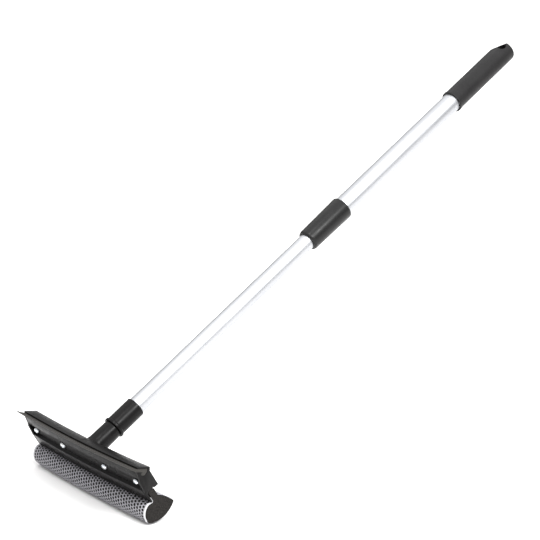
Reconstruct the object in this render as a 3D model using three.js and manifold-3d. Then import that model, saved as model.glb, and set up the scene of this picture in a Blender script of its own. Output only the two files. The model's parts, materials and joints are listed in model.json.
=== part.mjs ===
// A telescopic window squeegee: a T-shaped head with a rubber blade along one side and a netted
// sponge along the other, on a two-tube pole with a twist lock and a black grip.
// Millimetres. Every piece is drawn in the head frame: x runs along the head, y runs from the blade
// to the sponge, and z runs up the pole from the back face of the head. The assembly is then leaned
// over, so that the sponge's edge stands on z = 0 and the pole rises towards +Y.
import * as THREE from 'three';
import { mergeVertices } from 'three/addons/utils/BufferGeometryUtils.js';
import Module from 'manifold-3d';

const wasm = await Module();
wasm.setup();

// ---- Stance ----
const poleElevation = 30;

// ---- Clearances ----
const gap = 0.3;
const slideClearance = 0.35;

// ---- Head ----
const headWidth = 200;
const crownHeight = 2.2;
const endWall = 3;
const backWall = 2.2;
const backFaceWidth = 19.3;
const backFaceOffset = 1.1;
const ridgeHeight = 2;
const ridgeBevel = 3.3;
const blockDepth = 9.6;
const rimWall = 2.3;
const ribWall = 2;
const ribPlaces = [14, 62];

// ---- Slanted roof over the blade ----
const roofLength = 15.2;
const roofSlope = 47.7;
const roofWall = 1.5;

// ---- Rubber blade ----
const bladeThickness = 3.2;
const bladeReach = 10.2;
const bladeLift = 2.7;
const bladeStep = 0.9;
const bladeEdgeThickness = 0.8;
const bladeRootLength = 12.5;
const hookDepth = 3.6;
const hookLength = 4.6;
const hookSetback = 1.6;
const hookBevel = 0.9;
const insideStep = 0.5;

// ---- Clamp strip ----
const stripFloor = 1.9;
const lipRise = 1.7;
const jawRise = 4;
const jawWall = 1.5;
const jawReach = 12.6;
const recessWidth = 14.9;
const pocketWall = 3.05;
const pocketInset = 1.8;
const tipRounding = 0.4;
const endBulge = 3.6;

// ---- Sponge and net ----
const netThickness = 0.7;
const netTuck = 5;
const rimStartAngle = 90;
const rimEndAngle = -40;
const neckSqueeze = 7;
const frontCentreY = 11.4;
const frontCentreZ = -1.2;
const frontRadius = 12.7;
const frontStartAngle = 190;
const frontEndAngle = 285;
const soleCentreY = -2.5;
const soleCentreZ = 5.3;
const soleRadius = 27;
const soleStartAngle = -43;
const soleEndAngle = 38;
const backBendReach = 5;
const backBendRise = 5.7;

// ---- Clamp screws ----
const screwOuterPlace = 88;
const screwInnerPlace = 36.7;
const screwSideStep = -1.1;
const screwRadius = 1.5;
const screwLength = 8.2;
const screwPoint = 1.6;
const screwHeadRadius = 3.4;
const screwHeadHeight = 2.9;
const screwHeadRim = 0.5;
const crossWidth = 0.8;
const crossLength = 3.6;
const crossDepth = 1.3;
const bossRadius = 4;
const screwTurn = 25;
const screwTurnStep = 31;

// ---- Neck and ferrule ----
const neckLength = 27.2;
const neckWall = 2.1;
const neckTaper = 0.4;
const neckFlare = 3.6;
const neckFlareHeight = 8;
const neckRoot = 5;
const neckSink = 0.4;
const neckSide = 0.25;
const socketFloor = 6;
const threadRadius = 7.9;
const threadDepth = 0.8;
const threadPitch = 5;
const threadTurns = 3;
const threadLead = 1;
const spigotLength = 18;
const spigotBore = 5.2;
const ferruleWall = 1.25;
const ferruleLength = 33.2;
const ferruleSeat = 5.6;
const ferruleEdge = 0.5;
const beadLip = 1.05;
const beadHeight = 3.4;
const beadBevel = 0.7;

// ---- Tubes ----
const lowerTubeRadius = 9.5;
const tubeWall = 0.8;
const lowerTubeShown = 273.6;
const lowerTubeInside = 60;
const upperTubeShown = 205.3;

// ---- Twist lock ----
const bushWall = 0.55;
const bushFlange = 1.6;
const bushLength = 40;
const collarWall = 0.8;
const collarFlare = 1;
const collarLength = 61;
const collarNose = 3;
const collarRounding = 4;
const collarLip = 1;
const collarEdge = 0.5;
const plugSpigot = 18;
const plugShoulder = 3;
const plugClearance = 0.5;
const camOffset = 0.5;
const camPinRadius = 5;
const camHeight = 13;
const camClearance = 0.35;
const camSlot = 2;
const washerThickness = 1.2;
const washerInset = 1.4;
const camScrewRadius = 1.6;
const camScrewLength = 14;
const camScrewHeadRadius = 3.2;
const camScrewHeadHeight = 2.2;

// ---- Grip ----
const gripWall = 1.2;
const gripLength = 110.2;
const gripEnd = 20;
const gripRounding = 2.6;
const gripLip = 0.6;
const gripLipHeight = 5;
const hangHoleRadius = 4.6;
const hangHoleInset = 8.6;
const hangHoleBevel = 1.6;
const hangHoleMouth = 4.8;
const hangHoleTurn = 288;
const slopeLength = 27;
const slopeRadius = 62;
const slopeTurn = 247;

// ---- Smoothness ----
const roundSides = 36;
const screwSides = 16;
const crownSteps = 12;
const arcSteps = 6;
const slopeSteps = 8;
const overshoot = 1;

// ---- Sizes that follow from the ones above ----
const halfWidth = headWidth / 2;
const bevelY = backFaceOffset - backFaceWidth / 2;
const ridgeY = bevelY - ridgeBevel;
const backEdgeY = backFaceOffset + backFaceWidth / 2;
const blockZ = -blockDepth;
const roofY = -Math.cos(THREE.MathUtils.degToRad(roofSlope));
const roofZ = -Math.sin(THREE.MathUtils.degToRad(roofSlope));
const stripBackZ = blockZ - gap;
const recessZ = stripBackZ - stripFloor;
const pocketY = backEdgeY - pocketInset;
const recessEndY = pocketY - pocketWall;
const recessStartY = recessEndY - recessWidth;
const jawZ = recessZ - jawRise;
const jawTipY = pocketY + jawReach;
const pocketFrontZ = jawZ + jawWall;
const pocketBackZ = pocketFrontZ + neckSqueeze + 2 * (netThickness + 2 * gap);
const screwSeatZ = recessZ - gap;
const socketRadius = threadRadius + gap;
const neckRadius = socketRadius + neckWall;
const ferruleBottomZ = neckLength + gap;
const ferruleTopZ = ferruleBottomZ + ferruleLength;
const ferruleRadius = lowerTubeRadius + gap + ferruleWall;
const lowerTubeBottomZ = ferruleBottomZ + ferruleSeat + gap;
const collarBottomZ = ferruleTopZ + lowerTubeShown;
const lowerTubeTopZ = collarBottomZ + lowerTubeInside;
const bushRadius = lowerTubeRadius + slideClearance;
const bushOuterRadius = bushRadius + bushWall;
const upperBoreRadius = bushOuterRadius + gap;
const upperTubeRadius = upperBoreRadius + tubeWall;
const collarRadius = upperTubeRadius + gap + collarWall;
const bushBottomZ = collarBottomZ + collarNose + gap;
const upperTubeBottomZ = bushBottomZ + bushFlange + gap;
const collarTopZ = collarBottomZ + collarLength;
const gripMouthZ = collarTopZ + upperTubeShown;
const gripTopZ = gripMouthZ + gripLength;
const gripRadius = upperTubeRadius + gap + gripWall;
const gripFloorZ = gripTopZ - gripEnd;
const shoulderZ = lowerTubeTopZ + gap;
const pinZ = shoulderZ + plugShoulder;
const camBottomZ = pinZ + gap;
const camTopZ = camBottomZ + camHeight;
const pinTopZ = camTopZ + gap;
const washerZ = pinTopZ + gap;
const camRadius = upperBoreRadius - camClearance;

// ---- Materials ----
const blackPlastic = () => new THREE.MeshStandardMaterial({ color: 0x2b2b2d, roughness: 0.42, metalness: 0 });
const gripPlastic = () => new THREE.MeshStandardMaterial({ color: 0x303032, roughness: 0.5, metalness: 0 });
const whitePlastic = () => new THREE.MeshStandardMaterial({ color: 0xd8d6cf, roughness: 0.5, metalness: 0 });
const satinAluminium = () => new THREE.MeshStandardMaterial({ color: 0xd9dbdd, roughness: 0.32, metalness: 1 });
const brightSteel = () => new THREE.MeshStandardMaterial({ color: 0xd2d5d8, roughness: 0.2, metalness: 1 });
const bladeRubber = () => new THREE.MeshStandardMaterial({ color: 0x3a3633, roughness: 0.7, metalness: 0 });
const darkFoam = () => new THREE.MeshStandardMaterial({ color: 0x45453f, roughness: 0.95, metalness: 0 });
const whiteNet = () => new THREE.MeshStandardMaterial({ color: 0xc9c9d0, roughness: 0.8, metalness: 0 });

// ---- Solids ----

// Turns a closed three.js geometry into a solid with its faces pointing out.
function toSolid(geometry) {
  const bare = geometry.clone();
  bare.deleteAttribute('normal');
  bare.deleteAttribute('uv');
  const merged = mergeVertices(bare, 1e-4);
  const vertProperties = new Float32Array(merged.attributes.position.array);
  const triVerts = new Uint32Array(merged.index.array);
  const solid = new wasm.Manifold(new wasm.Mesh({ numProp: 3, vertProperties, triVerts }));
  if (solid.volume() > 0) {
    return solid;
  }
  const reversed = triVerts.slice().reverse();
  return new wasm.Manifold(new wasm.Mesh({ numProp: 3, vertProperties, triVerts: reversed }));
}

// Gives a solid back as a named mesh.
function toMesh(name, solid, material) {
  const mesh = solid.getMesh();
  const geometry = new THREE.BufferGeometry();
  const stride = mesh.numProp;
  const count = mesh.vertProperties.length / stride;
  const positions = new Float32Array(count * 3);
  for (let i = 0; i < count; i += 1) {
    for (let axis = 0; axis < 3; axis += 1) {
      positions[3 * i + axis] = mesh.vertProperties[stride * i + axis];
    }
  }
  geometry.setAttribute('position', new THREE.BufferAttribute(positions, 3));
  geometry.setIndex(new THREE.BufferAttribute(new Uint32Array(mesh.triVerts), 1));
  geometry.computeVertexNormals();
  const result = new THREE.Mesh(geometry, material);
  result.name = name;
  return result;
}

// The head is bowed: its middle stands forward of its ends, towards -z.
function crown(x) {
  return -crownHeight * (1 - (x / halfWidth) ** 2);
}

// The places along x where a bar's outline follows the bow, between its two ends.
function bowPlaces(startX, endX) {
  const wallX = halfWidth - endWall;
  const inner = [-wallX, wallX];
  for (let i = 1; i < crownSteps; i += 1) {
    inner.push(-halfWidth + (headWidth * i) / crownSteps);
  }
  const between = inner.filter((x) => x > startX && x < endX).sort((first, second) => first - second);
  return [startX, ...between, endX];
}

// A bar along x whose section is an outline of [y, z] points, following the head's bow.
function bowedBar(outline, startX, endX) {
  const shape = new THREE.Shape(outline.map(([y, z]) => new THREE.Vector2(y, z)));
  const places = bowPlaces(startX, endX);
  const steps = places.length - 1;
  const geometry = new THREE.ExtrudeGeometry(shape, { depth: steps, steps, bevelEnabled: false });
  const position = geometry.attributes.position;
  for (let i = 0; i < position.count; i += 1) {
    const x = places[Math.round(position.getZ(i))];
    position.setXYZ(i, x, position.getX(i), position.getY(i) + crown(x));
  }
  return toSolid(geometry);
}

// A turned piece about the pole's axis: its profile is a closed loop of [radius, z] points.
function turned(profile, sides = roundSides) {
  const points = profile.map(([radius, z]) => new THREE.Vector2(radius, z));
  const solidCore = points[0].x === 0 && points[points.length - 1].x === 0;
  if (!solidCore) {
    points.push(points[0].clone());
  }
  const geometry = new THREE.LatheGeometry(points, sides);
  geometry.rotateX(Math.PI / 2);
  return toSolid(geometry);
}

// A plain ring or tube about the pole's axis.
function ring(innerRadius, outerRadius, bottomZ, topZ) {
  return turned([
    [innerRadius, bottomZ],
    [outerRadius, bottomZ],
    [outerRadius, topZ],
    [innerRadius, topZ],
  ]);
}

// A block at a chosen middle point.
function box(sizeX, sizeY, sizeZ, x, y, z) {
  const geometry = new THREE.BoxGeometry(sizeX, sizeY, sizeZ);
  geometry.translate(x, y, z);
  return toSolid(geometry);
}

// A round bar along z at a chosen place.
function post(radius, bottomZ, topZ, x, y, sides = screwSides) {
  const geometry = new THREE.CylinderGeometry(radius, radius, topZ - bottomZ, sides);
  geometry.rotateX(Math.PI / 2);
  geometry.translate(x, y, (topZ + bottomZ) / 2);
  return toSolid(geometry);
}

// Moves each edge of an outline outwards by a distance. The outline runs anticlockwise.
function grown(outline, distance) {
  return outline.map((point, i) => {
    const before = outline[(i + outline.length - 1) % outline.length];
    const after = outline[(i + 1) % outline.length];
    return mitred(before, point, after, distance);
  });
}

// The corner where two edges meet once both have moved to their right by a distance.
function mitred(before, point, after, distance) {
  const first = new THREE.Vector2(point[0] - before[0], point[1] - before[1]).normalize();
  const second = new THREE.Vector2(after[0] - point[0], after[1] - point[1]).normalize();
  const normal = new THREE.Vector2(first.y + second.y, -first.x - second.x).normalize();
  const stretch = distance / Math.max(0.35, normal.x * first.y - normal.y * first.x);
  return [point[0] + normal.x * stretch, point[1] + normal.y * stretch];
}

// A point under the slanted roof: its distance down the slope from the ridge, and its depth below it.
function underRoof(along, depth) {
  return [ridgeY + along * roofY - depth * roofZ, ridgeHeight + along * roofZ + depth * roofY];
}

// Points along an arc in the head's section, between two angles in degrees.
function arc(centreY, centreZ, radius, startAngle, endAngle) {
  const points = [];
  for (let i = 0; i <= arcSteps; i += 1) {
    const angle = THREE.MathUtils.degToRad(startAngle + ((endAngle - startAngle) * i) / arcSteps);
    points.push([centreY + radius * Math.cos(angle), centreZ + radius * Math.sin(angle)]);
  }
  return points;
}

// ---- Head sections ----

const bladeTopDepth = roofWall + gap;
const bladeBottomDepth = bladeTopDepth + bladeThickness;
const hookBottomDepth = bladeBottomDepth + hookDepth;
const rootEnd = roofLength - bladeRootLength;
const hookStart = rootEnd + hookSetback;
const hookEnd = hookStart + hookLength;
const bladeEdge = roofLength + bladeReach;
const bladeHalfway = roofLength + bladeReach / 2;

// The blade: a root under the roof, a hook behind the strip's lip, and a wiping lip that thins out.
const bladeSection = [
  underRoof(rootEnd, bladeTopDepth),
  underRoof(roofLength, bladeTopDepth),
  underRoof(bladeHalfway, bladeTopDepth - bladeStep),
  underRoof(bladeEdge, bladeTopDepth - bladeLift),
  underRoof(bladeEdge, bladeTopDepth - bladeLift + bladeEdgeThickness),
  underRoof(bladeHalfway, bladeTopDepth + bladeThickness / 3),
  underRoof(roofLength, bladeBottomDepth),
  underRoof(hookEnd, bladeBottomDepth),
  underRoof(hookEnd, hookBottomDepth - hookBevel),
  underRoof(hookEnd - hookBevel, hookBottomDepth),
  underRoof(hookStart + hookBevel, hookBottomDepth),
  underRoof(hookStart, hookBottomDepth - hookBevel),
  underRoof(rootEnd, bladeBottomDepth),
];

// The pocket's back edge, from its floor to the head's back face.
const pocketBack = [
  [pocketY, pocketBackZ - pocketInset],
  [backEdgeY - tipRounding, pocketBackZ],
  [backEdgeY, 0],
];

// The tip of the front jaw, from its front face round to the pocket.
const jawTip = [
  [jawTipY - 2 * tipRounding, jawZ],
  [jawTipY, jawZ + tipRounding],
  [jawTipY - tipRounding, pocketFrontZ],
];

// Points inside the blade's slot, where the cut for the blade shapes the walls around it.
const roofEndInside = underRoof(roofLength, bladeTopDepth + insideStep);
const rootInside = underRoof(rootEnd + insideStep, bladeTopDepth + insideStep);
const hookInside = underRoof(hookStart + insideStep, hookBottomDepth - hookBevel - insideStep);
const hookFrontInside = underRoof(hookEnd - insideStep, bladeBottomDepth - insideStep);
const lipTip = underRoof(roofLength - gap, bladeBottomDepth - insideStep);
const slotWallY = underRoof(hookStart - gap, hookBottomDepth - hookBevel)[0];
const lipFoot = [recessStartY, recessZ - lipRise];
const jawFoot = [recessEndY + tipRounding, jawZ];

// The back block: the roof over the blade, and the block behind the clamp strip.
const blockSection = [
  [bevelY, 0],
  [ridgeY, ridgeHeight],
  underRoof(roofLength, 0),
  roofEndInside,
  rootInside,
  hookInside,
  [slotWallY + tipRounding, blockZ],
  [pocketY, blockZ],
  ...pocketBack,
];

// The clamp strip: a lip under the blade, a recess for the screws, and the front jaw.
const stripSection = [
  lipTip,
  lipFoot,
  [recessStartY + tipRounding, recessZ],
  [recessEndY, recessZ],
  jawFoot,
  ...jawTip,
  [pocketY, pocketFrontZ],
  [pocketY, stripBackZ],
  [slotWallY, stripBackZ],
  hookFrontInside,
];

// The end walls close the head over its whole section and leave the sponge's pocket open.
const endSection = [
  [bevelY, 0],
  [ridgeY, ridgeHeight],
  underRoof(roofLength, 0),
  lipTip,
  lipFoot,
  [recessStartY + endBulge, jawZ + endBulge / 4],
  jawFoot,
  ...jawTip,
  [pocketY + pocketInset, pocketFrontZ],
  [pocketY, pocketFrontZ + pocketInset],
  ...pocketBack,
];

// The outer line of the net, from the front of the sponge's neck round the lobe to its back.
function netLine() {
  const tipZ = jawZ + jawWall / 2;
  return [
    [jawTipY - netTuck, pocketFrontZ + gap],
    ...arc(jawTipY - jawWall / 2, tipZ, jawWall / 2 + gap, rimStartAngle, rimEndAngle),
    ...arc(jawTipY + frontCentreY, jawZ + frontCentreZ, frontRadius, frontStartAngle, frontEndAngle),
    ...arc(jawTipY + soleCentreY, jawZ + soleCentreZ, soleRadius, soleStartAngle, soleEndAngle),
    ...lobeBack(),
    [jawTipY - netTuck, pocketBackZ - gap],
  ];
}

// The hollow back of the lobe, from the end of the sole down to the sponge's neck.
function lobeBack() {
  const angle = THREE.MathUtils.degToRad(soleEndAngle);
  const cornerY = jawTipY + soleCentreY + soleRadius * Math.cos(angle);
  const cornerZ = jawZ + soleCentreZ + soleRadius * Math.sin(angle);
  const curve = new THREE.QuadraticBezierCurve(
    new THREE.Vector2(cornerY, cornerZ),
    new THREE.Vector2(jawTipY + backBendReach, pocketBackZ + backBendRise),
    new THREE.Vector2(jawTipY, pocketBackZ - gap),
  );
  return curve.getPoints(arcSteps).slice(1).map((point) => [point.x, point.y]);
}

// Shifts an open line to its left by a distance.
function shifted(line, distance) {
  return line.map((point, i) => {
    const before = line[i - 1] ?? [2 * point[0] - line[i + 1][0], 2 * point[1] - line[i + 1][1]];
    const after = line[i + 1] ?? [2 * point[0] - line[i - 1][0], 2 * point[1] - line[i - 1][1]];
    return mitred(before, point, after, -distance);
  });
}

// ---- Head pieces ----

const screwPlaces = [-screwOuterPlace, -screwInnerPlace, screwInnerPlace, screwOuterPlace];

function screwHole(x) {
  const frontZ = crown(x) + jawZ;
  const endZ = crown(x) + screwSeatZ + screwLength + gap;
  return post(screwRadius + gap, frontZ, endZ, x, screwSideStep);
}

// The neck stands on the block's back face and flares out where it meets it.
function neck() {
  const baseRadius = neckRadius + neckTaper;
  const baseZ = -crownHeight - neckSink;
  const profile = [[0, baseZ - neckRoot], [baseRadius + neckFlare, baseZ - neckRoot]];
  for (let i = 0; i <= arcSteps; i += 1) {
    const angle = (Math.PI / 2) * (i / arcSteps);
    const radius = baseRadius + neckFlare * (1 - Math.sin(angle));
    profile.push([radius, baseZ + neckFlareHeight * (1 - Math.cos(angle))]);
  }
  profile.push([neckRadius, neckLength - ferruleEdge]);
  profile.push([neckRadius - ferruleEdge, neckLength]);
  profile.push([socketRadius, neckLength], [socketRadius, socketFloor], [0, socketFloor]);
  const beyond = box(headWidth, headWidth, headWidth, 0, backEdgeY + neckSide + headWidth / 2, 0);
  return turned(profile).subtract(beyond);
}

// The hollows inside the block, open towards the clamp strip, with ribs and screw bosses left standing.
function hollows() {
  const startY = slotWallY + rimWall;
  const endY = pocketY - rimWall;
  const openZ = blockZ - overshoot;
  const inner = [[startY, openZ], [endY, openZ], [endY, -backWall], [startY, -backWall]];
  const ends = [...ribPlaces, halfWidth - endWall];
  const edges = [...ends.map((x) => -x).toReversed(), ...ends];
  let hollow = null;
  for (let i = 1; i < edges.length; i += 1) {
    const cell = bowedBar(inner, edges[i - 1] + ribWall / 2, edges[i] - ribWall / 2);
    hollow = hollow ? hollow.add(cell) : cell;
  }
  for (const x of screwPlaces) {
    hollow = hollow.subtract(post(bossRadius, crown(x) + blockZ - 2 * overshoot, crown(x), x, screwSideStep));
  }
  return hollow;
}

function headBody() {
  let body = bowedBar(blockSection, -halfWidth, halfWidth).add(neck());
  for (const side of [-1, 1]) {
    const innerX = side * (halfWidth - endWall);
    const outerX = side * halfWidth;
    const wall = bowedBar(endSection, Math.min(innerX, outerX), Math.max(innerX, outerX));
    body = body.add(wall);
  }
  const bladeSlot = bowedBar(grown(bladeSection, gap), -halfWidth - 1, halfWidth + 1);
  body = body.subtract(bladeSlot).subtract(hollows());
  for (const x of screwPlaces) {
    body = body.subtract(screwHole(x));
  }
  return body;
}

function clampStrip() {
  const reach = halfWidth - endWall - gap;
  let strip = bowedBar(stripSection, -reach, reach);
  strip = strip.subtract(bowedBar(grown(bladeSection, gap), -halfWidth, halfWidth));
  for (const x of screwPlaces) {
    strip = strip.subtract(screwHole(x));
  }
  return strip;
}

function spongeFoam() {
  const line = shifted(netLine(), netThickness + gap);
  const floorY = pocketY + gap;
  const section = [
    [floorY, pocketFrontZ + pocketInset + 2 * gap],
    [floorY + pocketInset, line[0][1]],
    ...line,
    [floorY + pocketInset, line[line.length - 1][1]],
    [floorY, pocketBackZ - pocketInset - 2 * gap],
  ];
  return bowedBar(section, -halfWidth, halfWidth);
}

function netCover() {
  const line = netLine();
  return bowedBar([...line, ...shifted(line, netThickness).toReversed()], -halfWidth, halfWidth);
}

// A domed screw with a cross recess. Its shank points up z from its seat.
function crossScrew(shankRadius, length, headRadius, headHeight, x, y, seatZ, turn, headSide) {
  const profile = [];
  for (let i = 0; i <= arcSteps; i += 1) {
    const angle = (Math.PI / 2) * (i / arcSteps);
    const rise = (headHeight - screwHeadRim) * Math.cos(angle);
    profile.push([headRadius * Math.sin(angle), -screwHeadRim - rise]);
  }
  profile[0][0] = 0;
  profile.push([headRadius, 0], [shankRadius, 0], [shankRadius, length - screwPoint], [0, length]);
  const cuts = [turn, turn + 90].map((angle) => {
    const cut = box(crossLength, crossWidth, 2 * crossDepth, 0, 0, -headHeight);
    return cut.rotate([0, 0, angle]);
  });
  const screw = turned(profile, screwSides).subtract(cuts[0]).subtract(cuts[1]);
  const faced = headSide > 0 ? screw.rotate([180, 0, 0]) : screw;
  return faced.translate([x, y, seatZ]);
}

function clampScrew(x, turn) {
  const seatZ = screwSeatZ + crown(x);
  return crossScrew(
    screwRadius, screwLength, screwHeadRadius, screwHeadHeight, x, screwSideStep, seatZ, turn, -1,
  );
}

// ---- Pole pieces ----

// The ferrule screws into the neck below its bead and holds the lower tube above it.
function ferrule() {
  const spigotZ = ferruleBottomZ - spigotLength;
  const profile = [[spigotBore, spigotZ], [threadRadius - threadDepth, spigotZ]];
  for (let i = 0; i < threadTurns; i += 1) {
    const z = spigotZ + threadLead + i * threadPitch;
    profile.push([threadRadius - threadDepth, z]);
    profile.push([threadRadius, z + threadPitch / 4]);
    profile.push([threadRadius, z + threadPitch / 2]);
    profile.push([threadRadius - threadDepth, z + (3 * threadPitch) / 4]);
  }
  const beadRadius = ferruleRadius + beadLip;
  const beadTopZ = ferruleBottomZ + beadHeight;
  const seatZ = ferruleBottomZ + ferruleSeat;
  const boreRadius = lowerTubeRadius + gap;
  profile.push(
    [threadRadius - threadDepth, ferruleBottomZ],
    [beadRadius - beadBevel, ferruleBottomZ],
    [beadRadius, ferruleBottomZ + beadBevel],
    [beadRadius, beadTopZ - beadBevel],
    [ferruleRadius, beadTopZ],
    [ferruleRadius, ferruleTopZ - ferruleEdge],
    [ferruleRadius - ferruleEdge, ferruleTopZ],
    [boreRadius, ferruleTopZ],
    [boreRadius, seatZ],
    [spigotBore, seatZ],
  );
  return turned(profile);
}

function lowerTube() {
  return ring(lowerTubeRadius - tubeWall, lowerTubeRadius, lowerTubeBottomZ, lowerTubeTopZ);
}

// The plug in the lower tube's top end. Its pin stands a little to one side of the pole's axis.
function camPlug() {
  const spigotRadius = lowerTubeRadius - tubeWall - gap;
  const shoulderRadius = upperBoreRadius - plugClearance;
  const body = turned([
    [0, shoulderZ - plugSpigot],
    [spigotRadius, shoulderZ - plugSpigot],
    [spigotRadius, shoulderZ],
    [shoulderRadius, shoulderZ],
    [shoulderRadius, pinZ],
    [0, pinZ],
  ]);
  const pin = post(camPinRadius, shoulderZ, pinTopZ, camOffset, 0, roundSides);
  const holeZ = washerZ + washerThickness - camScrewLength;
  const hole = post(camScrewRadius + gap, holeZ, pinTopZ + 1, camOffset, 0);
  return body.add(pin).subtract(hole);
}

// The split ring that turns on the plug's pin and jams in the upper tube.
function camRing() {
  const outer = post(camRadius, camBottomZ, camTopZ, 0, 0, roundSides);
  const bore = post(camPinRadius + gap, camBottomZ - 1, camTopZ + 1, camOffset, 0, roundSides);
  const middleZ = (camBottomZ + camTopZ) / 2;
  const slot = box(2 * camRadius, camSlot, 2 * camHeight, camOffset + camRadius, 0, middleZ);
  return outer.subtract(bore).subtract(slot);
}

function camWasher() {
  const washer = ring(camScrewRadius + gap, camRadius - washerInset, washerZ, washerZ + washerThickness);
  return washer.translate([camOffset, 0, 0]);
}

function camScrew() {
  const seatZ = washerZ + washerThickness + gap;
  return crossScrew(
    camScrewRadius, camScrewLength - gap, camScrewHeadRadius, camScrewHeadHeight, camOffset, 0, seatZ, 20, 1,
  );
}

// The flanged bush in the upper tube's bottom end, which the lower tube slides through.
function guideBush() {
  const sleeveZ = bushBottomZ + bushFlange;
  return turned([
    [bushRadius, bushBottomZ],
    [upperTubeRadius, bushBottomZ],
    [upperTubeRadius, sleeveZ],
    [bushOuterRadius, sleeveZ],
    [bushOuterRadius, sleeveZ + bushLength],
    [bushRadius, sleeveZ + bushLength],
  ]);
}

// The collar sleeves the upper tube's bottom end, with a rounded nose round the lower tube.
function lockCollar() {
  const noseRadius = bushRadius + collarLip;
  const profile = [[bushRadius, collarBottomZ]];
  for (let i = 0; i <= arcSteps; i += 1) {
    const angle = (Math.PI / 2) * (i / arcSteps);
    const radius = noseRadius + (collarRadius - noseRadius) * Math.sin(angle);
    profile.push([radius, collarBottomZ + collarRounding * (1 - Math.cos(angle))]);
  }
  profile.push(
    [collarRadius + collarFlare, collarTopZ - collarEdge],
    [collarRadius + collarFlare - collarEdge, collarTopZ],
    [upperTubeRadius + gap, collarTopZ],
    [upperTubeRadius + gap, collarBottomZ + collarNose],
    [bushRadius, collarBottomZ + collarNose],
  );
  return turned(profile);
}

function upperTube() {
  return ring(upperBoreRadius, upperTubeRadius, upperTubeBottomZ, gripFloorZ - gap);
}

// The grip: a sleeve on the upper tube with a solid end that a hanging hole crosses.
function handleGrip() {
  const boreRadius = upperTubeRadius + gap;
  const profile = [
    [0, gripFloorZ],
    [boreRadius, gripFloorZ],
    [boreRadius, gripMouthZ],
    [gripRadius + gripLip, gripMouthZ],
    [gripRadius + gripLip, gripMouthZ + gripLipHeight / 2],
    [gripRadius, gripMouthZ + gripLipHeight],
  ];
  for (let i = 0; i <= arcSteps; i += 1) {
    const angle = (Math.PI / 2) * (i / arcSteps);
    const radius = gripRadius - gripRounding * (1 - Math.cos(angle));
    profile.push([radius, gripTopZ - gripRounding * (1 - Math.sin(angle))]);
  }
  profile.push([0, gripTopZ]);
  return turned(profile).subtract(endSlope()).subtract(hangHole());
}

// The hanging hole's cutter: a round bar across the grip that widens at both mouths.
function hangHole() {
  const reach = gripRadius + overshoot;
  const mouth = hangHoleRadius + hangHoleBevel;
  const mouthStart = reach - hangHoleMouth;
  const halfLine = [[0, 0], [hangHoleRadius, 0], [hangHoleRadius, mouthStart], [mouth, reach], [0, reach]];
  const geometry = new THREE.LatheGeometry(halfLine.map(([r, z]) => new THREE.Vector2(r, z)), screwSides);
  geometry.rotateZ(-Math.PI / 2);
  const half = toSolid(geometry);
  const cutter = half.add(half.rotate([0, 0, 180]));
  return cutter.rotate([0, 0, hangHoleTurn]).translate([0, 0, gripTopZ - hangHoleInset]);
}

// The cutter for the rounded slope on one side of the grip's end: all that lies outside a large arc.
function endSlope() {
  const startZ = gripTopZ - slopeLength;
  const outerRadius = gripRadius + overshoot;
  const width = 4 * gripRadius;
  const shape = new THREE.Shape();
  shape.moveTo(outerRadius, startZ);
  for (let i = 0; i <= slopeSteps; i += 1) {
    const rise = (slopeLength + overshoot) * (i / slopeSteps);
    shape.lineTo(gripRadius - (rise * rise) / (2 * slopeRadius), startZ + rise);
  }
  shape.lineTo(outerRadius, gripTopZ + overshoot);
  shape.closePath();
  const geometry = new THREE.ExtrudeGeometry(shape, { depth: width, bevelEnabled: false });
  geometry.rotateX(Math.PI / 2);
  geometry.translate(0, width / 2, 0);
  return toSolid(geometry).rotate([0, 0, slopeTurn]);
}

// ---- The object ----

const head = new THREE.Group();
head.add(
  toMesh('head_body', headBody(), blackPlastic()),
  toMesh('clamp_strip', clampStrip(), blackPlastic()),
  toMesh('rubber_blade', bowedBar(bladeSection, -halfWidth, halfWidth), bladeRubber()),
  toMesh('sponge_foam', spongeFoam(), darkFoam()),
  toMesh('net_cover', netCover(), whiteNet()),
);
screwPlaces.forEach((x, i) => {
  head.add(toMesh(`clamp_screw_${i + 1}`, clampScrew(x, screwTurn + screwTurnStep * i), brightSteel()));
});

const lowerPole = new THREE.Group();
lowerPole.add(
  toMesh('ferrule', ferrule(), blackPlastic()),
  toMesh('lower_tube', lowerTube(), satinAluminium()),
  toMesh('cam_plug', camPlug(), whitePlastic()),
  toMesh('cam_ring', camRing(), whitePlastic()),
  toMesh('cam_washer', camWasher(), brightSteel()),
  toMesh('cam_screw', camScrew(), brightSteel()),
);

const upperPole = new THREE.Group();
upperPole.add(
  toMesh('guide_bush', guideBush(), whitePlastic()),
  toMesh('lock_collar', lockCollar(), blackPlastic()),
  toMesh('upper_tube', upperTube(), satinAluminium()),
  toMesh('handle_grip', handleGrip(), gripPlastic()),
);

const leaning = new THREE.Group();
leaning.add(head, lowerPole, upperPole);
leaning.rotation.x = -THREE.MathUtils.degToRad(90 - poleElevation);

// The origin is on the floor, under the middle of the object's own box.
const group = new THREE.Group();
group.add(leaning);
group.updateMatrixWorld(true);
const bounds = new THREE.Box3().setFromObject(group, true);
leaning.position.set(0, -(bounds.min.y + bounds.max.y) / 2, -bounds.min.z);
group.updateMatrixWorld(true);

export default group;
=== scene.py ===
import json
import math
import random

import bmesh
import bpy
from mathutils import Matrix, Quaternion, Vector, noise


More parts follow.
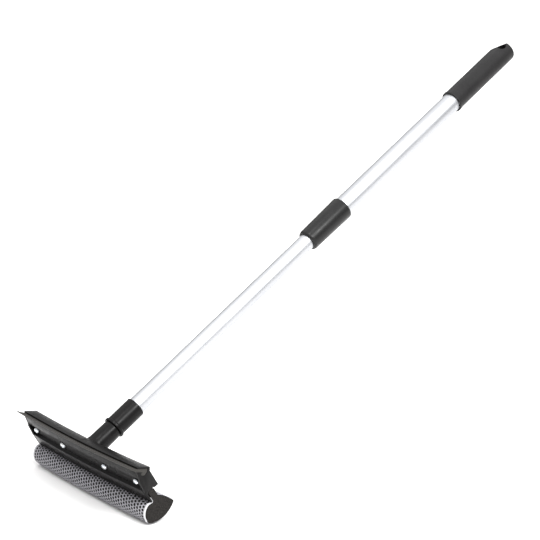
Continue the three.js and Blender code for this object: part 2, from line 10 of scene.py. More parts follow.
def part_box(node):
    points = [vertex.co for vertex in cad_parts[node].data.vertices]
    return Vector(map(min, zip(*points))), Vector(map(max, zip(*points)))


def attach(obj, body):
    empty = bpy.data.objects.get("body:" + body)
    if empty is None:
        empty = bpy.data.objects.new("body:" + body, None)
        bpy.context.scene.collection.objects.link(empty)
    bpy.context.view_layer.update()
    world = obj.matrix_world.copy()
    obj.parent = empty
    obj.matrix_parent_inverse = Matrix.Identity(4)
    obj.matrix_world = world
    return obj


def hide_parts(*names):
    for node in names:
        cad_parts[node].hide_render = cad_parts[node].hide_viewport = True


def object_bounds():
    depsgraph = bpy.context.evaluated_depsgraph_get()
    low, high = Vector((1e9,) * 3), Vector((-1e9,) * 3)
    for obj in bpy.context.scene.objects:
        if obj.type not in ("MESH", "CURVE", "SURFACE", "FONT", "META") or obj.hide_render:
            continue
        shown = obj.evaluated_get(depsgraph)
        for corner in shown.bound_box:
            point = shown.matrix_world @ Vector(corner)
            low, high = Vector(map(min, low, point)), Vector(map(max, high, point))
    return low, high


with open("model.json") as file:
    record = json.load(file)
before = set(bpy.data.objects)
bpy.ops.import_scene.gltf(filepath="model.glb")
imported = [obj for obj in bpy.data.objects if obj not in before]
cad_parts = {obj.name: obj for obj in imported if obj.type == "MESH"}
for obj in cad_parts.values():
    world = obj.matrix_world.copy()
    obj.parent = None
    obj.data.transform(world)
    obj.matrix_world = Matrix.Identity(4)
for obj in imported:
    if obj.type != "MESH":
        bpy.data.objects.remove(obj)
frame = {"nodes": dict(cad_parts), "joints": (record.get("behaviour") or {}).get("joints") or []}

CAD_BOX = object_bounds()
MM = 0.001

# ---- The pole's own frame: x along the head, y from blade to sponge, z up the pole ----
POLE = Vector(next(j["axis"] for j in frame["joints"] if j["name"] == "telescope")).normalized()
ALONG = Vector((1.0, 0.0, 0.0))
SIDE = POLE.cross(ALONG)
LOWER_TUBE_MIDDLE = 213.85


def middle(node):
    low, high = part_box(node)
    return (low + high) / 2


ORIGIN = middle("lower_tube") - POLE * (LOWER_TUBE_MIDDLE * MM)


def spot(x, y, z):
    """A point of the pole's frame, in millimetres, as a point of the row frame in metres."""
    return ORIGIN + (ALONG * x + SIDE * y + POLE * z) * MM


HALF_WIDTH = 100.0
CROWN = 2.2


def crown(x):
    """How far the head's middle dips below its ends, at a place along the head."""
    return -CROWN * (1 - (x / HALF_WIDTH) ** 2)


# ---- Materials ----
class Nodes:
    """A small helper for building one node material."""

    def __init__(self, name):
        self.material = bpy.data.materials.new(name)
        self.material.use_nodes = True
        self.tree = self.material.node_tree
        self.shader = self.tree.nodes["Principled BSDF"]
        self.place = self.tree.nodes.new("ShaderNodeTexCoord").outputs["Object"]

    def link(self, a, b):
        self.tree.links.new(a, b)

    def set(self, **values):
        for key, value in values.items():
            self.shader.inputs[key.replace("_", " ")].default_value = value

    def mapping(self, scale=(1, 1, 1), turn=(0, 0, 0), source=None):
        node = self.tree.nodes.new("ShaderNodeMapping")
        node.inputs["Scale"].default_value = scale
        node.inputs["Rotation"].default_value = turn
        self.link(source or self.place, node.inputs["Vector"])
        return node.outputs["Vector"]

    def noise(self, scale, detail=3.0, rough=0.5, source=None, distortion=0.0):
        node = self.tree.nodes.new("ShaderNodeTexNoise")
        node.inputs["Scale"].default_value = scale
        node.inputs["Detail"].default_value = detail
        node.inputs["Roughness"].default_value = rough
        node.inputs["Distortion"].default_value = distortion
        self.link(source or self.place, node.inputs["Vector"])
        return node.outputs["Fac"]

    def cells(self, scale, feature="F1", source=None):
        node = self.tree.nodes.new("ShaderNodeTexVoronoi")
        node.feature = feature
        node.inputs["Scale"].default_value = scale
        self.link(source or self.place, node.inputs["Vector"])
        return node.outputs["Distance"]

    def ramp(self, fac, stops):
        node = self.tree.nodes.new("ShaderNodeValToRGB")
        ramp = node.color_ramp
        while len(ramp.elements) < len(stops):
            ramp.elements.new(0.5)
        for element, (position, colour) in zip(ramp.elements, stops):
            element.position = position
            element.color = (*colour, 1.0)
        self.link(fac, node.inputs["Fac"])
        return node.outputs["Color"]

    def span(self, fac, low, high, from_low=0.3, from_high=0.7):
        node = self.tree.nodes.new("ShaderNodeMapRange")
        node.inputs["From Min"].default_value = from_low
        node.inputs["From Max"].default_value = from_high
        node.inputs["To Min"].default_value = low
        node.inputs["To Max"].default_value = high
        self.link(fac, node.inputs["Value"])
        return node.outputs["Result"]

    def mix(self, fac, a, b):
        node = self.tree.nodes.new("ShaderNodeMix")
        node.data_type = "RGBA"
        for socket, value in (("Factor", fac), ("A", a), ("B", b)):
            target = next(s for s in node.inputs if s.name == socket and s.enabled)
            if hasattr(value, "is_linked"):
                self.link(value, target)
            elif socket == "Factor":
                target.default_value = value
            else:
                target.default_value = (*value, 1.0)
        return next(s for s in node.outputs if s.name == "Result" and s.enabled)

    def bump(self, height, distance, strength=1.0, after=None):
        node = self.tree.nodes.new("ShaderNodeBump")
        node.inputs["Distance"].default_value = distance
        node.inputs["Strength"].default_value = strength
        self.link(height, node.inputs["Height"])
        if after:
            self.link(after, node.inputs["Normal"])
        return node.outputs["Normal"]

    def colour(self, socket):
        self.link(socket, self.shader.inputs["Base Color"])

    def roughness(self, socket):
        self.link(socket, self.shader.inputs["Roughness"])

    def normal(self, socket):
        self.link(socket, self.shader.inputs["Normal"])


POLE_TURN = (math.radians(60), 0, 0)


def moulded(name, dark, light, rough, grain, specular=0.5):
    """Injection moulded plastic: faint flow marks, a fine grain and rubbed patches."""
    m = Nodes(name)
    flow = m.noise(55, 4, 0.6, m.mapping((0.35, 1, 1)), 0.6)
    speck = m.noise(2600, 2, 0.6)
    base = m.ramp(flow, [(0.3, dark), (0.75, light)])
    m.colour(m.mix(0.35, base, m.ramp(speck, [(0.35, dark), (0.7, light)])))
    wear = m.noise(240, 5, 0.7, m.mapping((1, 0.4, 0.4)))
    m.roughness(m.span(wear, rough - 0.07, rough + 0.09))
    fine = m.bump(m.noise(1900, 3, 0.65), grain * MM, 0.55)
    soft = m.bump(m.noise(90, 2, 0.5), 0.12 * MM, 0.5, fine)
    m.normal(soft)
    m.set(Specular_IOR_Level=specular)
    return m.material


def tube_metal():
    """Drawn aluminium with a satin anodised skin: long fine lines along the pole."""
    m = Nodes("tube_metal")
    turned = m.mapping((1, 1, 1), POLE_TURN)
    lines = m.noise(1500, 4, 0.6, m.mapping((1, 1, 0.012), (0, 0, 0), turned))
    cloud = m.noise(26, 3, 0.5, m.mapping((1, 1, 0.25), (0, 0, 0), turned))
    base = m.ramp(cloud, [(0.3, (0.45, 0.46, 0.48)), (0.7, (0.52, 0.53, 0.55))])
    scratches = m.ramp(lines, [(0.3, (0.42, 0.43, 0.45)), (0.7, (0.8, 0.8, 0.81))])
    m.colour(m.mix(0.12, base, scratches))
    m.roughness(m.span(lines, 0.38, 0.5))
    m.normal(m.bump(lines, 0.012 * MM, 0.35))
    m.set(Metallic=1.0)
    return m.material


def steel():
    """Zinc plated steel: faint blue and straw tints and small dents."""
    m = Nodes("zinc_steel")
    tint = m.noise(420, 3, 0.5)
    blue, plain, straw = (0.6, 0.66, 0.72), (0.72, 0.74, 0.76), (0.74, 0.72, 0.66)
    m.colour(m.ramp(tint, [(0.3, blue), (0.55, plain), (0.8, straw)]))
    m.roughness(m.span(m.noise(900, 4, 0.6), 0.2, 0.36))
    m.normal(m.bump(m.noise(1400, 3, 0.6), 0.02 * MM, 0.4))
    m.set(Metallic=1.0)
    return m.material


def rubber():
    """Extruded rubber: dull, dusty, with faint lines along the blade."""
    m = Nodes("blade_rubber")
    lines = m.noise(900, 3, 0.6, m.mapping((0.02, 1, 1)))
    dust = m.noise(160, 5, 0.7)
    base = m.ramp(dust, [(0.3, (0.022, 0.0205, 0.0185)), (0.75, (0.045, 0.042, 0.038))])
    drawn = m.ramp(lines, [(0.35, (0.014, 0.013, 0.012)), (0.7, (0.06, 0.057, 0.052))])
    m.colour(m.mix(0.3, base, drawn))
    m.roughness(m.span(dust, 0.55, 0.75))
    m.normal(m.bump(lines, 0.03 * MM, 0.5))
    m.set(Specular_IOR_Level=0.28)
    return m.material


def foam():
    """Open-cell foam: pale cell walls, with painted shade darkening the pits between them, over a
    base kept darker than the foam's own grey as painted shade under the net.
    """
    m = Nodes("foam")
    pores = m.cells(780, "DISTANCE_TO_EDGE")
    coarse = m.cells(330, "F1")
    patches = m.noise(90, 4, 0.6)
    # The base is the foam's own dark grey, darkened further: part of it is painted shade for the
    # foam under the net.
    base = m.ramp(patches, [(0.3, (0.008, 0.0074, 0.0069)), (0.75, (0.017, 0.0157, 0.0147))])
    # From wall through slope to pit the colour darkens: painted shade in the pores, not a colour
    # of the foam.
    wall, slope, pit = (0.045, 0.0415, 0.0385), (0.014, 0.013, 0.012), (0.004, 0.0037, 0.0035)
    walls = m.ramp(pores, [(0.0, wall), (0.16, slope), (0.5, pit)])
    m.colour(m.mix(0.55, base, walls))
    m.set(Roughness=0.92, Specular_IOR_Level=0.15)
    m.normal(m.bump(coarse, 0.5 * MM, 0.8, m.bump(pores, 0.35 * MM, 0.9)))
    return m.material


SELVEDGE_FADE = (0.0968, 0.0984)


def net_yarn():
    """Knitted nylon: short pale stitches, with painted shade between the filaments."""
    m = Nodes("net_yarn")
    stitch = m.cells(1500, "F1", m.mapping((0.75, 1, 1)))
    fine = m.noise(4200, 2, 0.6)
    dirt = m.noise(60, 4, 0.6)
    # The shade colour and the darkest colour of the stitch ramp are painted shade between the
    # filaments, not a yarn colour.
    yarn, shade, gap_shade = (0.50, 0.495, 0.53), (0.36, 0.355, 0.39), (0.19, 0.186, 0.21)
    base = m.ramp(stitch, [(0.05, yarn), (0.45, shade), (0.75, gap_shade)])
    base = m.mix(m.span(dirt, 0.0, 0.22), base, (0.28, 0.268, 0.26))
    split = m.tree.nodes.new("ShaderNodeSeparateXYZ")
    m.link(m.place, split.inputs["Vector"])
    outward = m.tree.nodes.new("ShaderNodeMath")
    outward.operation = "ABSOLUTE"
    m.link(split.outputs["X"], outward.inputs[0])
    edge = m.span(outward.outputs["Value"], 0.0, 0.85, *SELVEDGE_FADE)
    m.colour(m.mix(edge, base, (0.72, 0.72, 0.74)))
    m.roughness(m.span(fine, 0.42, 0.6))
    m.normal(m.bump(stitch, 0.16 * MM, 0.7, m.bump(fine, 0.03 * MM, 0.4)))
    m.set(Specular_IOR_Level=0.45, Sheen_Weight=0.15)
    return m.material


def floor_paint():
    """A matt white floor with a faint mottle."""
    m = Nodes("floor_paper")
    m.colour(m.ramp(m.noise(8, 3, 0.5), [(0.3, (0.93, 0.925, 0.92)), (0.7, (0.95, 0.945, 0.94))]))
    m.normal(m.bump(m.noise(600, 3, 0.5), 0.03 * MM, 0.2))
    m.set(Roughness=0.85, Specular_IOR_Level=0.1)
    return m.material


JET, SOOT = (0.0055, 0.0052, 0.0052), (0.0105, 0.0102, 0.0102)
BLACK = moulded("black_plastic", JET, SOOT, 0.3, 0.035, 0.1)
COLLAR = moulded("collar_plastic", (0.008, 0.008, 0.008), (0.014, 0.014, 0.0138), 0.33, 0.03, 0.2)
GRIP = moulded("grip_plastic", (0.010, 0.0097, 0.010), (0.017, 0.0166, 0.017), 0.48, 0.05, 0.17)
WHITE = moulded("white_plastic", (0.72, 0.72, 0.69), (0.82, 0.82, 0.8), 0.4, 0.02)
METAL = tube_metal()
STEEL = steel()
RUBBER = rubber()
FOAM = foam()
YARN = net_yarn()


# ---- Mesh helpers ----
def mesh_object(name, bm, material, angle=32.0):
    """An object made from a finished bmesh, smooth but for edges sharper than the angle."""
    data = bpy.data.meshes.new(name)
    bmesh.ops.recalc_face_normals(bm, faces=bm.faces)
    for face in bm.faces:
        face.smooth = True
    bm.to_mesh(data)
    bm.free()
    data.set_sharp_from_angle(angle=math.radians(angle))
    made = bpy.data.objects.new(name, data)
    bpy.context.scene.collection.objects.link(made)
    made.data.materials.append(material)
    return made


def apply_modifiers(made):
    """Turns a piece's modifiers into its mesh."""
    graph = bpy.context.evaluated_depsgraph_get()
    data = bpy.data.meshes.new_from_object(made.evaluated_get(graph))
    made.modifiers.clear()
    made.data = data


def rounded(profile, radius, steps=4):
    """Rounds each corner of a closed outline, by at most radius and half of its shorter edge."""
    made = []
    count = len(profile)
    for i, point in enumerate(profile):
        here = Vector(point[:2])
        before = Vector(profile[i - 1][:2])
        after = Vector(profile[(i + 1) % count][:2])
        own = point[2] if len(point) > 2 else radius
        a = before - here
        b = after - here
        if own <= 0 or a.length < 1e-6 or b.length < 1e-6:
            made.append(here)
            continue
        a.normalize()
        b.normalize()
        half = a.angle(b) / 2
        if half > math.radians(86):
            made.append(here)
            continue
        room = 0.48 * min((before - here).length, (after - here).length)
        reach = min(own / math.tan(half), room)
        start, end = here + a * reach, here + b * reach
        for k in range(steps + 1):
            t = k / steps
            made.append(start * (1 - t) ** 2 + here * 2 * t * (1 - t) + end * t ** 2)
    return made


def lathe(name, profile, material, sides=96, radius=0.25):
    """A turned piece about the pole, from a closed outline of (radius, height) points."""
    bm = bmesh.new()
    rings = []
    for r, z in rounded(profile, radius):
        ring = []
        for k in range(sides):
            turn = 2 * math.pi * k / sides
            ring.append(bm.verts.new(spot(r * math.cos(turn), r * math.sin(turn), z)))
        rings.append(ring)
    for a, b in zip(rings, rings[1:] + rings[:1]):
        for k in range(sides):
            n = (k + 1) % sides
            bm.faces.new([a[k], a[n], b[n], b[k]])
    return mesh_object(name, bm, material)


JOIN_DISTANCE = 2e-6


def softened(name, node, material, width=0.35, segments=2):
    """A copy of a CAD node with its doubled vertices joined and its sharp edges rounded."""
    bm = bmesh.new()
    bm.from_mesh(frame["nodes"][node].data)
    bmesh.ops.remove_doubles(bm, verts=bm.verts, dist=JOIN_DISTANCE)
    flat = math.radians(0.15)
    bmesh.ops.dissolve_limit(bm, angle_limit=flat, verts=bm.verts, edges=bm.edges)
    made = mesh_object(name, bm, material)
    bevel = made.modifiers.new("edges", "BEVEL")
    bevel.width = width * MM
    bevel.segments = segments
    bevel.limit_method = "ANGLE"
    bevel.angle_limit = math.radians(38)
    bevel.use_clamp_overlap = True
    bevel.harden_normals = False
    apply_modifiers(made)
    made.data.set_sharp_from_angle(angle=math.radians(40))
    return made


def settle(made, body, node):
    """Gives a piece its body and hides the CAD node it stands for."""
    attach(made, body)
    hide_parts(node)
    return made


# ---- The sponge's outline ----
JAW_Y, JAW_Z, JAW_WALL = 21.55, -15.8, 1.5
POCKET_Y = 8.95
POCKET_FRONT_Z, POCKET_BACK_Z = -14.3, -4.7
GAP = 0.3


def arc(cy, cz, radius, start, end, steps):
    """Points on an arc in the head's section, between two angles in degrees."""
    points = []
    for i in range(steps + 1):
        angle = math.radians(start + (end - start) * i / steps)
        points.append(Vector((cy + radius * math.cos(angle), cz + radius * math.sin(angle))))
    return points


def net_line():
    """The net's outer line in section, from the front jaw round the lobe to the back jaw."""
    line = [Vector((JAW_Y - 5, POCKET_FRONT_Z + GAP))]
    line += arc(JAW_Y - JAW_WALL / 2, JAW_Z + JAW_WALL / 2, JAW_WALL / 2 + GAP, 90, -40, 10)
    line += arc(JAW_Y + 11.4, JAW_Z - 1.2, 12.7, 190, 285, 24)
    line += arc(JAW_Y - 2.5, JAW_Z + 5.3, 27, -43, 38, 28)
    corner = line[-1]
    bend = Vector((JAW_Y + 5, POCKET_BACK_Z + 5.7))
    end = Vector((JAW_Y, POCKET_BACK_Z - GAP))
    for i in range(1, 21):
        t = i / 20
        line.append(corner * (1 - t) ** 2 + bend * 2 * t * (1 - t) + end * t ** 2)
    line.append(Vector((JAW_Y - 5, POCKET_BACK_Z - GAP)))
    return line


def evenly(line, step):
    """The line with its points an even distance apart."""
    lengths = [0.0]
    for a, b in zip(line, line[1:]):
        lengths.append(lengths[-1] + (b - a).length)
    count = max(2, round(lengths[-1] / step))
    made, k = [], 0
    for i in range(count + 1):
        want = lengths[-1] * i / count
        while k < len(line) - 2 and lengths[k + 1] < want:
            k += 1
        span = lengths[k + 1] - lengths[k]
        made.append(line[k].lerp(line[k + 1], (want - lengths[k]) / span if span else 0))
    return made


def relaxed(line, turns):
    """The line with its bends smoothed out a little more at each turn."""
    for _ in range(turns):
        inner = [(a + 2 * b + c) / 4 for a, b, c in zip(line, line[1:], line[2:])]
        line = [line[0]] + inner + [line[-1]]
    return line


FINE_LINE = relaxed(evenly(net_line(), 0.25), 6)
FINE_STEP = sum((b - a).length for a, b in zip(FINE_LINE, FINE_LINE[1:])) / (len(FINE_LINE) - 1)
NET_LENGTH = FINE_STEP * (len(FINE_LINE) - 1)


def smooth(share):
    """An even rise from 0 to 1, level at both ends."""
    share = min(max(share, 0.0), 1.0)
    return share * share * (3 - 2 * share)


def on_line(s):
    """The point at a distance along the net's outer line, and the way out of the sponge."""
    place = min(max(s / FINE_STEP, 0), len(FINE_LINE) - 1.001)
    k = int(place)
    a, b = FINE_LINE[k], FINE_LINE[k + 1]
    before, after = FINE_LINE[max(k - 3, 0)], FINE_LINE[min(k + 4, len(FINE_LINE) - 1)]
    run = (after - before).normalized()
    return a.lerp(b, place - k), Vector((run.y, -run.x))


# ---- Sponge ----
SPONGE_INSET = 0.82
SPONGE_STEP = 0.9
END_GAP = 0.05
SPONGE_CENTRE = Vector((29.0, -10.0))
END_SHARES = (0.96, 0.89, 0.8, 0.7, 0.59, 0.47, 0.34, 0.2)


def sponge():
    """The foam: one section carried along the head, with porous sides and pitted ends."""
    bm = bmesh.new()
    outline = []
    count = int(NET_LENGTH / SPONGE_STEP)
    for i in range(count + 1):
        point, out = on_line(NET_LENGTH * i / count)
        outline.append(point - out * SPONGE_INSET)
    floor_y = POCKET_Y + GAP
    first, last = outline[0], outline[-1]
    head = [Vector((floor_y, POCKET_FRONT_Z + 2.4)), Vector((floor_y + 0.6, first.y + 0.6))]
    head += [Vector((floor_y + 1.8, first.y)), Vector((floor_y + 4, first.y))]
    tail = [Vector((floor_y + 4, last.y)), Vector((floor_y + 1.8, last.y))]
    tail += [Vector((floor_y + 0.4, POCKET_BACK_Z - 2.2))]
    outline = head + outline + tail
    centre = SPONGE_CENTRE
    stations = [-HALF_WIDTH + END_GAP, -99.75, -99.2]
    stations += [-98 + 196 * i / 90 for i in range(91)]
    stations += [99.2, 99.75, HALF_WIDTH - END_GAP]
    rings = []
    for x in stations:
        edge = max(0.0, abs(x) - 99.0)
        ring = []
        for point in outline:
            pull = 0.55 * edge ** 2
            inward = (centre - point).normalized()
            where = spot(x, point.x, point.y + crown(x))
            rough = noise.noise(where * 420) * 0.12 + noise.noise(where * 140) * 0.1
            moved = point + inward * (pull - min(0.0, rough) * 0.9)
            ring.append(bm.verts.new(spot(x, moved.x, moved.y + crown(x))))
        rings.append(ring)
    for a, b in zip(rings, rings[1:]):
        for k in range(len(outline)):
            n = (k + 1) % len(outline)
            bm.faces.new([a[k], a[n], b[n], b[k]])
    for ring, sign in ((rings[0], -1), (rings[-1], 1)):
        anchor = spot(sign * (HALF_WIDTH - END_GAP), centre.x, centre.y + crown(HALF_WIDTH))
        outer = ring
        for share in END_SHARES:
            inner = []
            for vert in ring:
                where = anchor + (vert.co - anchor) * share
                pit = max(0.0, noise.noise(where * 700)) * 0.5 + 0.12 * noise.noise(where * 160)
                inner.append(bm.verts.new(where - ALONG * (sign * max(pit, 0.0) * MM)))
            for k in range(len(ring)):
                n = (k + 1) % len(ring)
                bm.faces.new([outer[k], outer[n], inner[n], inner[k]])
            outer = inner
        bm.faces.new(outer)
    return mesh_object("sponge_core", bm, FOAM, 50)


# ---- Net cover ----
COLUMN, ROW = 4.225, 3.35
HOLE_HALF_WIDTH, HOLE_HALF_HEIGHT, HOLE_FILL = 1.88, 1.48, 0.62
CUTS = 4
SELVEDGE = 2.8
LEAN = 0.343
LEAN_MIDDLE, LEAN_REACH = 18.0, 13.0
FRONT_LENGTH = 27.0
PULL_IN = 2.8
YARN_HALF = 0.24
HOLE_POWER = 1.35
WEAVE = 0.55
HOLE_SHARE, CELL_SHARE = 0.62, 0.38
HEM = 1


def net():
    """The net: a sheet with one rounded hole in each cell, and how many holes it has."""
    rng = random.Random(7)
    columns = 2 * round((HALF_WIDTH - SELVEDGE) / COLUMN)
    inner = columns * COLUMN / 2
    rows = int(NET_LENGTH / ROW)
    start = (NET_LENGTH - rows * ROW) / 2
    across = [-HALF_WIDTH, -HALF_WIDTH + 0.5, -HALF_WIDTH + 1.4]
    edge_cells = len(across)
    across += [-inner + COLUMN * i / CUTS for i in range(columns * CUTS + 1)]
    across += [HALF_WIDTH - 1.4, HALF_WIDTH - 0.5, HALF_WIDTH]
    down = [start + ROW * i / CUTS for i in range(rows * CUTS + 1)]
    down = [0.0] + down + [NET_LENGTH]
    taken, bricks = set(), []
    for c in range(columns):
        shift = CUTS // 2 if c % 2 else 0
        for r in range(rows):
            b0 = HEM + r * CUTS + shift
            if b0 + CUTS > HEM + rows * CUTS:
                continue
            a0 = edge_cells + c * CUTS
            bricks.append((c, a0, b0))
            for a in range(a0, a0 + CUTS):
                for b in range(b0, b0 + CUTS):
                    taken.add((a, b))
    bm = bmesh.new()

    def wander(u, s):
        """How far a place in the net has strayed from its even grid."""
        drift = Vector((u * 0.03, s * 0.03, 0.0))
        return 0.35 * noise.noise(drift), 0.3 * noise.noise(drift + Vector((9, 3, 5)))

    def place(u, s, height):
        """The point at u along the head and s down the net, at a height in the sheet."""
        if abs(u) < inner - 0.5:
            fade = min(1.0, (inner - 0.5 - abs(u)) / 6)
            lean = LEAN * min(max(s - LEAN_MIDDLE, -LEAN_REACH), LEAN_REACH)
            du, ds = wander(u, s)
            u += du * fade + lean * smooth((inner - abs(u)) / 24)
            s += ds * fade
        back = smooth((s - FRONT_LENGTH) / 7)
        u -= math.copysign(PULL_IN * back * smooth((abs(u) - 84) / 16), u)
        point, out = on_line(s)
        moved = point + out * (height - YARN_HALF)
        return spot(u, moved.x, moved.y + crown(u))

    grid = {}

    def vert(a, b, side):
        key = (a, b, side)
        if key not in grid:
            u, s = across[a], down[b]
            step = a - edge_cells
            if 0 < step < columns * CUTS and step % CUTS == 0:
                sign = 1 if (step // CUTS) % 2 else -1
                u += sign * WEAVE * math.cos(2 * math.pi * (b - HEM) / CUTS)
            thick = YARN_HALF
            if a == 0 or a == len(across) - 1:
                thick = YARN_HALF * 0.35
            elif a < edge_cells or a > len(across) - 1 - edge_cells:
                thick = YARN_HALF * 1.25
            grid[key] = bm.verts.new(place(u, s, side * thick))
        return grid[key]

    for a in range(len(across) - 1):
        for b in range(len(down) - 1):
            if (a, b) in taken:
                continue
            corners = [(a, b), (a + 1, b), (a + 1, b + 1), (a, b + 1)]
            bm.faces.new([vert(*c, 1) for c in corners])
            bm.faces.new([vert(*c, -1) for c in reversed(corners)])
    for c, a0, b0 in bricks:
        ring = [(a0 + i, b0) for i in range(CUTS)]
        ring += [(a0 + CUTS, b0 + i) for i in range(CUTS)]
        ring += [(a0 + CUTS - i, b0 + CUTS) for i in range(CUTS)]
        ring += [(a0, b0 + CUTS - i) for i in range(CUTS)]
        u0 = across[a0] + COLUMN / 2 + rng.uniform(-0.1, 0.1)
        s0 = down[b0] + ROW / 2 + rng.uniform(-0.08, 0.08)
        wide = HOLE_HALF_WIDTH * rng.uniform(0.93, 1.06)
        tall = HOLE_HALF_HEIGHT * rng.uniform(0.92, 1.06)
        rim, mid = [], []
        for k in range(len(ring)):
            turn = math.radians(225) + 2 * math.pi * k / len(ring)
            cu, cs = math.cos(turn), math.sin(turn)
            bend = (abs(cu) ** HOLE_POWER + abs(cs) ** HOLE_POWER) ** (-1 / HOLE_POWER)
            rim_u = u0 + wide * cu * bend
            rim_s = s0 + tall * cs * bend
            rim.append(bm.verts.new(place(rim_u, rim_s, 0.0)))
            mid_u = rim_u * HOLE_SHARE + across[ring[k][0]] * CELL_SHARE
            mid_s = rim_s * HOLE_SHARE + down[ring[k][1]] * CELL_SHARE
            mid.append([])
            for side in (1, -1):
                mid[k].append(bm.verts.new(place(mid_u, mid_s, side * YARN_HALF * 0.72)))
        for k in range(len(ring)):
            n = (k + 1) % len(ring)
            # From the sheet's upper side, round the rim of the hole, to its lower side.
            bm.faces.new([vert(*ring[k], 1), vert(*ring[n], 1), mid[n][0], mid[k][0]])
            bm.faces.new([mid[k][0], mid[n][0], rim[n], rim[k]])
            bm.faces.new([rim[k], rim[n], mid[n][1], mid[k][1]])
            bm.faces.new([mid[k][1], mid[n][1], vert(*ring[n], -1), vert(*ring[k], -1)])
    for b in range(len(down) - 1):
        for a in (0, len(across) - 1):
            bm.faces.new([vert(a, b, 1), vert(a, b + 1, 1), vert(a, b + 1, -1), vert(a, b, -1)])
    for a in range(len(across) - 1):
        for b in (0, len(down) - 1):
            bm.faces.new([vert(a, b, 1), vert(a + 1, b, 1), vert(a + 1, b, -1), vert(a, b, -1)])
    return mesh_object("net_sleeve", bm, YARN, 70), len(bricks)


# ---- Turned pieces ----
LOWER_TUBE = {"bore": 8.7, "radius": 9.5, "foot": 33.4, "top": 394.3}
UPPER_TUBE = {"bore": 10.7, "radius": 11.5, "foot": 339.5, "top": 690.5}
TUBE_EDGE = 0.12

FERRULE_Z, FERRULE_TOP = 27.5, 60.7
SPIGOT_FOOT = FERRULE_Z - 18
SPIGOT_BORE, SPIGOT_RADIUS = 5.2, 7.1
THREAD_RADIUS, THREAD_PITCH, THREAD_TURNS = 7.9, 5, 3
FLANGE_RADIUS, FERRULE_RADIUS, FERRULE_BORE = 12.1, 11.05, 9.8
FERRULE_FLOOR = FERRULE_Z + 5.6

COLLAR_Z, COLLAR_TOP = 334.3, 395.3
COLLAR_BORE, COLLAR_NOSE, COLLAR_SOCKET = 9.85, 10.85, 11.8
COLLAR_TOP_RADIUS = 13.6
NOSE_WIDTH, NOSE_HEIGHT, NOSE_STEPS = 1.75, 4, 8
COLLAR_FLOOR = COLLAR_Z + 3


def tube_outline(tube):
    bore, radius, foot, top = tube["bore"], tube["radius"], tube["foot"], tube["top"]
    return [(bore, foot), (radius, foot), (radius, top), (bore, top)]


def ferrule_outline():
    """The ferrule: a threaded spigot, a flange and the cup that holds the lower tube."""
    outline = [(SPIGOT_BORE, SPIGOT_FOOT), (SPIGOT_RADIUS, SPIGOT_FOOT)]
    for i in range(THREAD_TURNS):
        z = SPIGOT_FOOT + 1 + THREAD_PITCH * i
        outline += [(SPIGOT_RADIUS, z), (THREAD_RADIUS, z + 1.25)]
        outline += [(THREAD_RADIUS, z + 2.5), (SPIGOT_RADIUS, z + 3.75)]
    outline += [(SPIGOT_RADIUS, FERRULE_Z, 0), (11.75, FERRULE_Z, 0.6)]
    outline += [(FLANGE_RADIUS, FERRULE_Z + 0.7, 0.6), (FLANGE_RADIUS, FERRULE_Z + 2.8, 0.6)]
    outline += [(11.5, FERRULE_Z + 3.3, 0.5), (FERRULE_RADIUS, FERRULE_Z + 3.8, 0.6)]
    outline += [(FERRULE_RADIUS, FERRULE_TOP, 0.6), (FERRULE_BORE, FERRULE_TOP, 0.3)]
    outline += [(FERRULE_BORE, FERRULE_FLOOR, 0), (SPIGOT_BORE, FERRULE_FLOOR, 0)]
    return outline


def collar_outline():
    """The twist-lock collar: a rounded nose below and a socket for the upper tube."""
    outline = [(COLLAR_BORE, COLLAR_Z, 0.2), (COLLAR_NOSE, COLLAR_Z, 0.4)]
    for i in range(1, NOSE_STEPS + 1):
        turn = math.pi / 2 * i / NOSE_STEPS
        out = NOSE_WIDTH * math.sin(turn)
        up = NOSE_HEIGHT * (1 - math.cos(turn))
        outline.append((COLLAR_NOSE + out, COLLAR_Z + up, 0.3))
    outline += [(COLLAR_TOP_RADIUS, COLLAR_TOP, 0.5), (COLLAR_SOCKET, COLLAR_TOP, 0.25)]
    outline += [(COLLAR_SOCKET, COLLAR_FLOOR, 0), (COLLAR_BORE, COLLAR_FLOOR, 0)]
    return outline


def turned_pieces():
    made = lathe("ferrule_socket", ferrule_outline(), BLACK)
    settle(made, "head", "ferrule")
    made = lathe("lower_pole_tube", tube_outline(LOWER_TUBE), METAL, radius=TUBE_EDGE)
    settle(made, "head", "lower_tube")
    made = lathe("upper_pole_tube", tube_outline(UPPER_TUBE), METAL, radius=TUBE_EDGE)
    settle(made, "upper_pole", "upper_tube")
    made = lathe("lock_sleeve", collar_outline(), COLLAR)
    settle(made, "upper_pole", "lock_collar")


# ---- Build the pieces ----
turned_pieces()
made = softened("head_moulding", "head_body", BLACK)
settle(made, "head", "head_body")
made = softened("strip_moulding", "clamp_strip", BLACK, 0.3)
settle(made, "head", "clamp_strip")
made = softened("wiper_blade", "rubber_blade", RUBBER, 0.25)
settle(made, "head", "rubber_blade")
made = softened("grip_moulding", "handle_grip", GRIP, 0.5, 3)
settle(made, "upper_pole", "handle_grip")
for i in range(1, 5):
    made = softened(f"strip_screw_{i}", f"clamp_screw_{i}", STEEL, 0.12)
    settle(made, "head", f"clamp_screw_{i}")

SPONGE = settle(sponge(), "head", "sponge_foam")
net_object, hole_count = net()
NET = settle(net_object, "head", "net_cover")

for node, material, slot in (
    ("cam_plug", WHITE, "white_plastic"),
    ("cam_ring", WHITE, "white_plastic"),
    ("guide_bush", WHITE, "white_plastic"),
    ("cam_washer", STEEL, "steel"),
    ("cam_screw", STEEL, "steel"),
):
    carried = frame["nodes"][node]
    carried.data.materials.clear()
    carried.data.materials.append(material)

# ---- Stage ----
FLOOR_SIZE = 200
FLOOR_GAP = 0.0002
SKY = (("From Min", 0.25), ("From Max", 0.8), ("To Min", 0.4), ("To Max", 1.72))

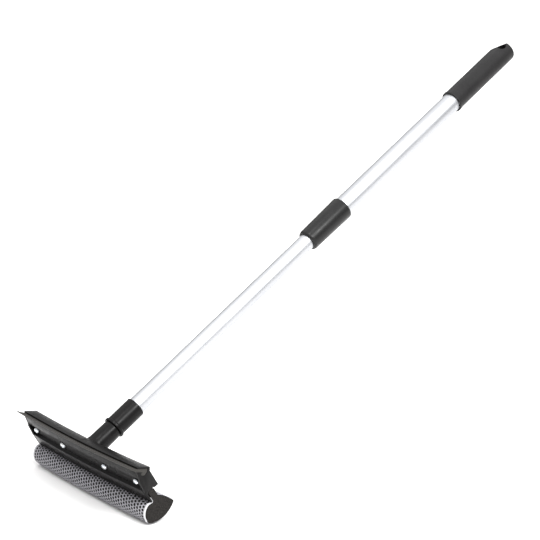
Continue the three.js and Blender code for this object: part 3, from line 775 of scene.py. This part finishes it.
bm = bmesh.new()
bmesh.ops.create_grid(bm, x_segments=2, y_segments=2, size=FLOOR_SIZE)
floor = mesh_object("floor", bm, floor_paint())
floor.location.z = CAD_BOX[0].z - FLOOR_GAP

world = bpy.data.worlds.new("studio")
bpy.context.scene.world = world
world.use_nodes = True
sky = world.node_tree
direction = sky.nodes.new("ShaderNodeTexCoord").outputs["Generated"]
split = sky.nodes.new("ShaderNodeSeparateXYZ")
sky.links.new(direction, split.inputs["Vector"])
overhead = sky.nodes.new("ShaderNodeMapRange")
overhead.interpolation_type = "SMOOTHSTEP"
for socket, value in SKY:
    overhead.inputs[socket].default_value = value
sky.links.new(split.outputs["Z"], overhead.inputs["Value"])
sky.links.new(overhead.outputs["Result"], sky.nodes["Background"].inputs["Strength"])
sky.nodes["Background"].inputs["Color"].default_value = (1, 1, 1, 1)


def softbox(name, where, aim, width, height, power):
    """A rectangular lamp at a place, turned to face another."""
    data = bpy.data.lights.new(name, "AREA")
    data.shape = "RECTANGLE"
    data.size, data.size_y = width, height
    data.energy = power
    lamp = bpy.data.objects.new(name, data)
    bpy.context.scene.collection.objects.link(lamp)
    lamp.location = where
    lamp.rotation_euler = (Vector(aim) - Vector(where)).to_track_quat("-Z", "Y").to_euler()


def far_light(name, direction, strength, softness):
    """Parallel light that comes from a direction, with its spread in degrees."""
    data = bpy.data.lights.new(name, "SUN")
    data.energy = strength
    data.angle = math.radians(softness)
    lamp = bpy.data.objects.new(name, data)
    bpy.context.scene.collection.objects.link(lamp)
    lamp.rotation_euler = Vector(direction).to_track_quat("Z", "Y").to_euler()


far_light("overhead", (0.25, -0.3, 1.0), 1.0, 7)
softbox("side", (1.42, -0.08, 1.42), (0, 0, 0.15), 0.95, 0.26, 32)

# ---- Camera: low, to one side, with a long lens ----
AZIMUTH, ELEVATION = math.radians(48.7), math.radians(15.1)
DISTANCE = 1.5745
ROLL = 0.3
LENS = 96.5
AIM = (0, -7.0, 275.6)
back = Vector((
    math.sin(AZIMUTH) * math.cos(ELEVATION),
    -math.cos(AZIMUTH) * math.cos(ELEVATION),
    math.sin(ELEVATION),
))
camera = bpy.data.cameras.new("camera")
camera.sensor_width = 36
camera.lens = LENS
camera_object = bpy.data.objects.new("camera", camera)
bpy.context.scene.collection.objects.link(camera_object)
camera_object.location = spot(*AIM) + back * DISTANCE
level = (-back).to_track_quat("-Z", "Y")
camera_object.rotation_euler = (level @ Quaternion((0, 0, 1), math.radians(ROLL))).to_euler()
bpy.context.scene.camera = camera_object
bpy.context.scene.view_settings.view_transform = "Standard"
